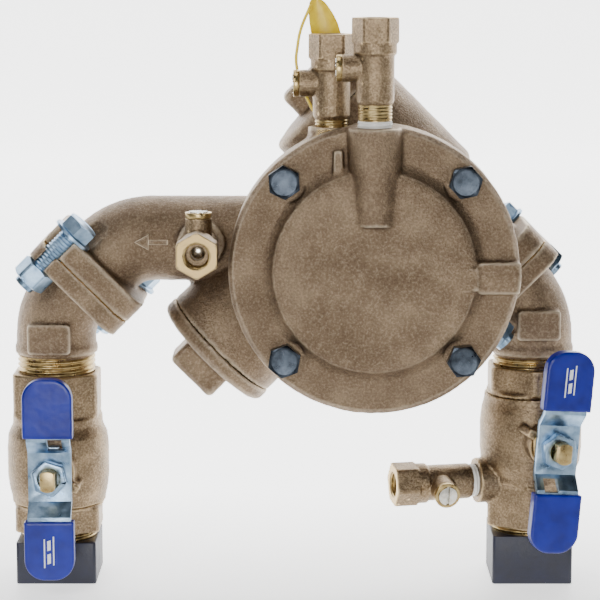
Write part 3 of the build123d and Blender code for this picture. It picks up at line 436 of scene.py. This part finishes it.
# ---------------------------------------------------------------- surfaces worked out here
def skin(name, grids, slot, body, *nodes, ring=False):
    """One closed piece from grids of points, each joined round its rows. A ring is joined
    end to end as well, and anything else has its two end rows drawn in to their middles."""
    vertices, faces, start = [], [], 0
    for points in grids:
        if not ring:
            points = np.concatenate([np.broadcast_to(points[0].mean(axis=0), points[:1].shape),
                                     points,
                                     np.broadcast_to(points[-1].mean(axis=0),
                                                     points[:1].shape)])
        rows, columns = points.shape[:2]
        index = start + np.arange(rows * columns).reshape(rows, columns)
        after = np.roll(index, -1, axis=0)
        loop = np.stack([index, np.roll(index, -1, axis=1), np.roll(after, -1, axis=1), after],
                        axis=-1)
        vertices.append(points.reshape(-1, 3))
        faces.append((loop if ring else loop[:-1]).reshape(-1, 4))
        start += rows * columns
    mesh = bpy.data.meshes.new(name)
    mesh.from_pydata(np.concatenate(vertices).tolist(), [], np.concatenate(faces).tolist())
    shape = bmesh.new()
    shape.from_mesh(mesh)
    bmesh.ops.remove_doubles(shape, verts=shape.verts, dist=1e-7)
    bmesh.ops.recalc_face_normals(shape, faces=shape.faces)
    shape.to_mesh(mesh)
    shape.free()
    mesh.shade_smooth()
    mesh.set_sharp_from_angle(angle=radians(40))
    return new_piece(name, mesh, slot, body, *nodes)


def axes_of(out):
    """Two unit directions square to out, and out itself, as columns."""
    out = unit(out)
    side = unit(np.cross(out, (0.0, 1.0, 0.0) if abs(out[2]) > 0.9 else (0.0, 0.0, 1.0)))
    return np.stack([side, np.cross(out, side), out], axis=1)


def screw_thread(name, origin, out, radius, length, pitch, depth, slot, body, rag=0.0):
    """A helical ridge round a bar (depth > 0) or inside a bore (depth < 0). At angle a and
    height h the radius is radius + depth x ridge(h / pitch - a / turn), where ridge rises
    and falls in straight flanks with a narrow flat on top. The wall behind it is sunk
    0.5 mm into the bar, and rag adds uneven wrapping, for tape."""
    rows = int(length / pitch * 14)
    height = np.linspace(0, length, rows)[:, None]
    angle = np.linspace(0, 2 * pi, 96, endpoint=False)[None, :]
    wave = 1 - np.abs(2 * ((height / pitch - angle / (2 * pi)) % 1) - 1)
    ridge = np.clip(1.4 * wave - 0.2, 0, 1)
    fade = np.clip(np.minimum(height, length - height) / (0.25 * pitch), 0, 1)
    reach = radius + depth * ridge * fade + np.sign(depth) * 0.04 * MM
    if rag:
        spots = np.stack(np.broadcast_arrays(np.cos(angle) * radius, np.sin(angle) * radius,
                                             height), axis=-1).reshape(-1, 3)
        reach = reach + rag * (1 + lattice_noise(spots, 1.8 * MM, 91)).reshape(reach.shape)
    back = np.full_like(angle, radius - np.sign(depth) * 0.5 * MM)
    reach = np.concatenate([reach, back, back])
    height = np.concatenate([np.broadcast_to(height, (rows, 96)),
                             np.full((1, 96), length), np.zeros((1, 96))])
    local = np.stack([np.cos(angle) * reach, np.sin(angle) * reach, height], axis=-1)
    return skin(name, [local @ axes_of(out).T + np.array(origin)], slot, body, ring=True)


def hexed(rows, origin, out, turn):
    """One bolt or nut as a grid. Each row is (radius, height) of a circle, or (half the
    width across flats, height, cone) of a hexagon, whose radius at angle a is half the width
    over cos((a mod 60) - 30). A cone lowers (1) or raises (-1) the row's corners by
    tan 30 x their reach beyond 0.96 of the half width."""
    angle = np.linspace(0, 2 * pi, 72, endpoint=False)
    corner = 1 / np.cos((angle + radians(turn)) % (pi / 3) - pi / 6)
    grid = []
    for radius, height, *cone in rows:
        reach = radius * corner if cone else np.full(72, radius)
        drop = np.clip(reach - 0.96 * radius, 0, None) * np.tan(pi / 6) * (cone or [0])[0]
        grid.append(np.stack([np.cos(angle) * reach, np.sin(angle) * reach, height - drop],
                             axis=-1))
    return np.array(grid) * MM @ axes_of(out).T + np.array(origin)


def grade_mark(spot, turn):
    """A raised line on a bolt's head, 0.6 mm wide, from 2.2 to 4.7 mm off its middle."""
    way = np.array((np.cos(radians(turn)), 0.0, np.sin(radians(turn))))
    side = np.array((-way[2], 0.0, way[0]))
    return np.array([[np.array(spot) + (way * far + side * half + (0.0, -depth, 0.0)) * MM
                      for far, half in ((2.2, -0.3), (4.7, -0.3), (4.7, 0.3), (2.2, 0.3))]
                     for depth in (61.9, 62.25)])


def drawn_strap(name, path, width, thickness, slot, body):
    """A flat strap along a path in the plane of x and z. The path is drawn in 60 steps and
    evened by a moving mean of nine. Its section is a superellipse of power 4, thickness
    across the path and width in depth."""
    path = np.array(path) * MM
    run = np.concatenate([[0], np.cumsum(np.linalg.norm(np.diff(path, axis=0), axis=1))])
    along = np.linspace(0, run[-1], 60)
    line = np.stack([np.interp(along, run, path[:, k]) for k in range(3)], axis=-1)
    padded = np.concatenate([np.repeat(line[:1], 4, axis=0), line,
                             np.repeat(line[-1:], 4, axis=0)])
    line = np.mean([padded[k:k + 60] for k in range(9)], axis=0)
    way = np.gradient(line, axis=0)
    way /= np.linalg.norm(way, axis=1, keepdims=True)
    across = np.cross(way, (0.0, 1.0, 0.0))
    angle = np.linspace(0, 2 * pi, 20, endpoint=False)
    cosine, sine = np.cos(angle), np.sin(angle)
    flat = np.sign(cosine) * np.sqrt(np.abs(cosine)) * thickness / 2
    deep = np.sign(sine) * np.sqrt(np.abs(sine)) * width / 2
    grid = (line[:, None, :] + across[:, None, :] * flat[None, :, None]
            + np.array((0.0, 1.0, 0.0)) * deep[None, :, None])
    return skin(name, [grid], slot, body)


def tag_leaf():
    """The strap's broad end, 0.8 mm thick. At each height the face runs from a left edge to a
    right edge and bows back by 1.2 mm x (1 - (2t - 1)^2) + 0.25 mm x sin(height / 3.5 mm)."""
    height = np.array([236.0, 240.0, 244.0, 248.0, 252.0, 256.0, 259.0, 261.0, 262.2])
    left = np.array([-98.6, -99.4, -99.8, -100.2, -100.8, -101.2, -101.2, -100.8, -100.0])
    right = np.array([-87.4, -87.0, -86.9, -87.4, -88.6, -90.6, -92.6, -94.2, -95.8])
    across = np.linspace(0, 1, 16)
    x = left[:, None] + (right - left)[:, None] * across
    bow = 1.2 * (1 - (2 * across - 1) ** 2) + 0.25 * np.sin(height / 3.5)[:, None]
    front = np.stack([x, -28.3 + bow, np.broadcast_to(height[:, None], x.shape)], axis=-1)
    back = front[:, ::-1] + (0.0, 0.8, 0.0)
    return skin("tag_leaf", [np.concatenate([front, back], axis=1) * MM], "tag_yellow",
                "housing", "tag")


def grip_print(centre, cross, along, front):
    """A plain printed mark: two thin lines with two short bars between them. Each is a
    rectangle 0.2 mm thick, sheared so that a point u across is 0.3 u further along."""
    marks = []
    for middle, low, high, half in ((-2.0, -6.5, 6.5, 0.28), (2.0, -6.5, 6.5, 0.28),
                                    (0.0, -5.2, -0.8, 0.75), (0.0, 0.8, 5.2, 0.75)):
        corners = [(middle - half, low), (middle + half, low), (middle + half, high),
                   (middle - half, high)]
        marks.append(np.array([[centre + (cross * u + along * (v + 0.3 * u)
                                          + front * depth) * MM
                                for u, v in corners] for depth in (-0.1, 0.1)]))
    return marks


# ---------------------------------------------------------------- where the pieces are
RISERS = {"inlet": 0.0, "outlet": -0.215}
VALVE_FOOT = {"inlet": 25.0 * MM, "outlet": 22.0 * MM}
VALVE_LENGTH, SHOULDER = 73.0 * MM, 103.4 * MM
PIPE_PITCH, COCK_PITCH = 25.4 / 11.5 * MM, 25.4 / 18 * MM
COCK_LENGTH = 35.9 * MM
COCK_GAP = {1: 2.8 * MM, 2: 10.0 * MM, 3: 3.5 * MM, 4: 5.1 * MM}
cock_ports = {n: (np.array(mounts[f"test_cock_{n}_port"]["pos_m"]),
                  np.array(mounts[f"test_cock_{n}_port"]["axis"])) for n in COCK_GAP}
PIPE_R, COCK_R, COCK_PORT_R, FLANGE_BOLT_R = 16.7 * MM, 6.85 * MM, 5.6 * MM, 4.7 * MM
FRONT, UP_LEFT, UP_RIGHT = (0.0, -1.0, 0.0), (-1.0, 0.0, 1.0), (1.0, 0.0, 1.0)
inlet_joint = np.array((-0.01485, 0.0, 0.13825))
outlet_joint = np.array((-0.20015, 0.0, 0.13825))
COVER_MIDDLE, COVER_FACE = np.array((-0.0734, 0.0, 0.1484)), np.array((0.0, -0.046, 0.0))
COVER_BOLT_CIRCLE = 54.0 * MM
cover_bolts = [(COVER_MIDDLE + COVER_BOLT_CIRCLE * np.array((np.cos(radians(at)), 0.0,
                                                             np.sin(radians(at)))), turn)
               for at, turn in ((45, -12), (135, -34), (225, -20), (315, -5))]
flange_bolts = [(joint + np.array(along) * across * MM / np.sqrt(2)
                 + np.array((0.0, depth * MM, 0.0)), out)
                for joint, out, along in ((inlet_joint, UP_LEFT, (-1.0, 0.0, -1.0)),
                                          (outlet_joint, UP_RIGHT, (-1.0, 0.0, 1.0)))
                for depth, across in ((-20.5, 18.0), (20.5, -18.0))]
handles = {"inlet": (66.0 * MM, unit((np.sin(radians(13)), -np.cos(radians(13)), 0.0)),
                     radians(5), 1),
           "outlet": (54.0 * MM, unit(FRONT), 0.0, -1)}    # height, front, tilt, printed end
PRINT_OUT, PRINT_ALONG = 44.38 * MM, 32.0 * MM
# fasteners' profiles in mm: shank, washer face where there is one, then the hexagon
COVER_BOLT = [(3.9, 31.5), (3.9, 57.0), (6.35, 57.0, 0), (6.35, 62.3, 1), (6.1, 62.3),
              (5.6, 62.1), (5.2, 62.05)]
FLANGE_BOLT = [(4.6, -20.0), (4.7, -19.0), (4.7, 11.0), (9.5, 11.0), (9.5, 12.2),
               (8.4, 12.7), (7.0, 12.7, 0), (7.0, 18.6, 1), (6.7, 18.6), (6.1, 18.35),
               (5.7, 18.3)]
FLANGE_NUT = [(4.75, -8.5), (6.8, -8.5), (7.15, -8.5, 1), (7.15, -17.5, -1), (6.8, -17.5),
              (4.75, -17.5)]

# ---------------------------------------------------------------- castings and forgings
casting("main_body", 1.15 * MM, 2, 0.15 * MM, 11,
        [(inlet_joint, (1.0, 0.0, -1.0), 0.04), (outlet_joint, (-1.0, 0.0, -1.0), 0.04),
         (COVER_MIDDLE + COVER_FACE, FRONT, 0.066)])
casting("relief_cover", 0.72 * MM, 2, 0.14 * MM, 23)
casting("inlet_elbow", 0.8 * MM, 2, 0.13 * MM, 31, [(inlet_joint, UP_LEFT, 0.04)])
casting("outlet_elbow", 0.8 * MM, 2, 0.13 * MM, 37, [(outlet_joint, UP_RIGHT, 0.04)])
for seed, check in ((41, "check1"), (43, "check2")):
    lift = np.array(joints[check + "_lift"]["axis"], float)
    disc = np.mean([tuple(corner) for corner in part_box(check + "_disc")], axis=0)
    casting(check + "_bonnet", 0.85 * MM, 2, 0.13 * MM, seed,
            bores=[(disc + lift * 26.3 * MM, lift, 4.45 * MM, 17.0 * MM)])
for seed, side in ((51, "inlet"), (57, "outlet")):
    casting(side + "_valve_body", 0.68 * MM, 2, 0.08 * MM, seed)
    casting(side + "_tailpiece", 0.68 * MM, 2, 0.07 * MM, seed + 3)
for n, (port, out) in cock_ports.items():
    casting(f"test_cock_{n}", 0.42 * MM, 2, 0.05 * MM, 60 + n, [(port, out, 9.2 * MM)])

# ---------------------------------------------------------------- turned and pressed pieces
for node, width in (("gland_nuts", 0.4), ("inlet_handle_nut", 0.5), ("outlet_handle_nut", 0.5),
                    ("inlet_handle", 0.45), ("outlet_handle", 0.45), ("inlet_stem", 0.4),
                    ("outlet_stem", 0.4), ("inlet_coupling", 0.6), ("outlet_coupling", 0.6),
                    ("riser_nipples", 0.4), ("test_cock_rings", 0.25), ("inlet_ball", 0.3),
                    ("outlet_ball", 0.3), ("diaphragm", 0.3), ("diaphragm_front_plate", 0.3),
                    ("diaphragm_rear_plate", 0.3), ("relief_stem", 0.3),
                    ("relief_stem_nuts", 0.3), ("relief_guide", 0.3),
                    ("relief_disc_holder", 0.3), ("relief_disc", 0.2), ("relief_seat", 0.2),
                    ("check1_seat", 0.25), ("check2_seat", 0.25), ("check1_disc", 0.25),
                    ("check2_disc", 0.25), ("check1_poppet", 0.3), ("check2_poppet", 0.3),
                    ("check1_disc_screw", 0.3), ("check2_disc_screw", 0.3),
                    ("o_rings", 0.1), ("valve_seats", 0.15), ("stem_packings", 0.15)):
    eased(node, width * MM)
for n in cock_ports:
    eased(f"test_cock_{n}_stem", 0.25 * MM)
for side in RISERS:
    casting(side + "_grips", 0.55 * MM, 3, 0.04 * MM, 71)

# ---------------------------------------------------------------- bolts, nuts and flow arrow
cover_set = skin("cover_bolt_set",
                 [hexed(COVER_BOLT, spot, FRONT, turn) for spot, turn in cover_bolts]
                 + [grade_mark(spot, turn + third) for spot, turn in cover_bolts
                    for third in (0, 120, 240)],
                 "zinc_steel", "housing", "cover_bolts")
# the cover bolts take the darker copy of the zinc plate, which is painted shade on the same
# plating
cover_set.data.materials[0] = painted_shade_zinc
skin("flange_bolt_set", [hexed(FLANGE_BOLT, spot, out, turn)
                         for (spot, out), turn in zip(flange_bolts, (-10, -25, 0, -40))],
     "zinc_steel", "housing", "flange_bolts")
skin("flange_nut_set", [hexed(FLANGE_NUT, spot, out, turn)
                        for (spot, out), turn in zip(flange_bolts, (-5, -15, -28, -33))],
     "zinc_steel", "housing", "flange_nuts", ring=True)
for number, (spot, out) in enumerate(flange_bolts, 1):
    screw_thread(f"flange_bolt_{number}_thread", spot - np.array(out) / np.sqrt(2) * 8 * MM,
                 out, FLANGE_BOLT_R, 18 * MM, 25.4 / 16 * MM, 0.45 * MM, "zinc_steel",
                 "housing")

# the flow arrow stands 1 mm off the outlet pipe: a shaft and a head, their faces drawn in
# from their sides
arrow = []
for outline in (((-7.0, -1.1), (2.0, -1.1), (2.0, 1.1), (-7.0, 1.1)),
                ((1.5, -3.6), (8.0, 0.0), (1.5, 3.6))):
    edge = np.array([(-170.0 - along, 0.0, 155.9 + up) for along, up in outline])
    arrow.append(np.array([edge.mean(axis=0) + (edge - edge.mean(axis=0)) * size + (0, -deep, 0)
                           for deep, size in ((16.0, 1.0), (19.7, 1.0), (20.0, 0.92),
                                              (20.0, 0.84))]) * MM)
skin("flow_arrow", arrow, "cast_bronze", "housing")

# ---------------------------------------------------------------- springs
slide = {n: np.array(joints[n]["axis"], float) for n in ("check1_lift", "check2_lift",
                                                         "relief_travel")}
RELIEF_TRAVEL, CHECK_TRAVEL = 7 * MM, 9 * MM
SPRING_FOOT, SPRING_END = 8.1, 49.9       # mm from a check's seat
for node, joint, end in (("check1_spring", "check1_lift", SPRING_END),
                         ("check2_spring", "check2_lift", SPRING_END),
                         ("relief_spring", "relief_travel", None)):
    spring = eased(node, 0.05 * MM, 1)
    low, high = (np.array(corner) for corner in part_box(node))
    if end is None:
        anchor, length, travel = (low + high) / 2, high[1] - low[1], RELIEF_TRAVEL
        anchor[1] = high[1]
    else:
        length, travel = (end - SPRING_FOOT) * MM, CHECK_TRAVEL
        anchor = (low + high) / 2 + slide[joint] * length / 2
    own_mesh(spring)

# ---------------------------------------------------------------- threads, tape and print
for side, x in RISERS.items():
    foot, head = VALVE_FOOT[side], VALVE_FOOT[side] + VALVE_LENGTH
    screw_thread(side + "_elbow_thread", (x, 0, head), (0, 0, 1), PIPE_R, SHOULDER - head,
                 PIPE_PITCH, 0.75 * MM, "machined_brass", "housing")
    screw_thread(side + "_nipple_thread", (x, 0, foot - 3 * MM), (0, 0, 1), PIPE_R,
                 3 * MM, PIPE_PITCH, 0.6 * MM, "machined_brass", "housing")
for n, (port, out) in cock_ports.items():
    screw_thread(f"test_cock_{n}_port_thread", port - out * 8.6 * MM, out, COCK_PORT_R,
                 8.2 * MM, COCK_PITCH, -0.55 * MM, "machined_brass", "housing")
    boss = port - out * (COCK_LENGTH + COCK_GAP[n])
    taped = 2.8 * MM if n in (1, 2) else 0.0
    if taped:
        screw_thread(f"test_cock_{n}_tape", boss, out, COCK_R + 0.05 * MM, taped, COCK_PITCH,
                     0.28 * MM, "ptfe_white", "housing", rag=0.16 * MM)
    if COCK_GAP[n] > taped:
        screw_thread(f"test_cock_{n}_thread", boss + out * taped, out, COCK_R,
                     COCK_GAP[n] - taped, COCK_PITCH, 0.30 * MM, "machined_brass", "housing")


tag_leaf()
drawn_strap("tag_strap", [(-91.4, -29.4, 210.4), (-95.5, -29.9, 210.6), (-98.2, -30.4, 212.6),
                          (-103.0, -30.4, 222.0), (-107.0, -30.4, 235.0),
                          (-105.0, -30.4, 249.0), (-99.8, -28.8, 261.0)],
            2.3 * MM, 1.3 * MM, "tag_yellow", "housing")


for side, (height, front, tilt, end) in handles.items():
    up = np.array((0.0, 0.0, 1.0))
    right = np.cross(up, front)
    along = up * np.cos(tilt) + right * np.sin(tilt)
    cross = right * np.cos(tilt) - up * np.sin(tilt)
    face = (np.array((RISERS[side], 0.0, height)) + front * PRINT_OUT
            + along * end * PRINT_ALONG)
    mark = skin(side + "_grip_print", grip_print(face, cross, along, front), "vinyl_blue",
                side + "_turning")
    mark.data.materials[0] = print_white


# ---------------------------------------------------------------- floor
def lay_floor():
    """Studio paper: flat under the couplings, then up a quarter circle to a wall behind."""
    turn = np.linspace(0, pi / 2, 24)
    depth = np.concatenate([[-6.0], 2.0 + np.sin(turn) * 1.2, [3.2]])
    height = np.concatenate([[0.0], 1.2 - np.cos(turn) * 1.2, [6.0]])
    left = np.stack([np.full(len(depth), -6.0), depth, height], axis=-1)
    right = left + (12.0, 0.0, 0.0)
    step = np.arange(len(depth) - 1)
    faces = np.stack([step, step + len(depth), step + len(depth) + 1, step + 1], axis=-1)
    mesh = bpy.data.meshes.new("studio_paper")
    mesh.from_pydata(np.concatenate([left, right]).tolist(), [], faces.tolist())
    mesh.shade_smooth()
    mesh.materials.append(studio_floor)
    paper = bpy.data.objects.new("studio_paper", mesh)
    scene.collection.objects.link(paper)


lay_floor()
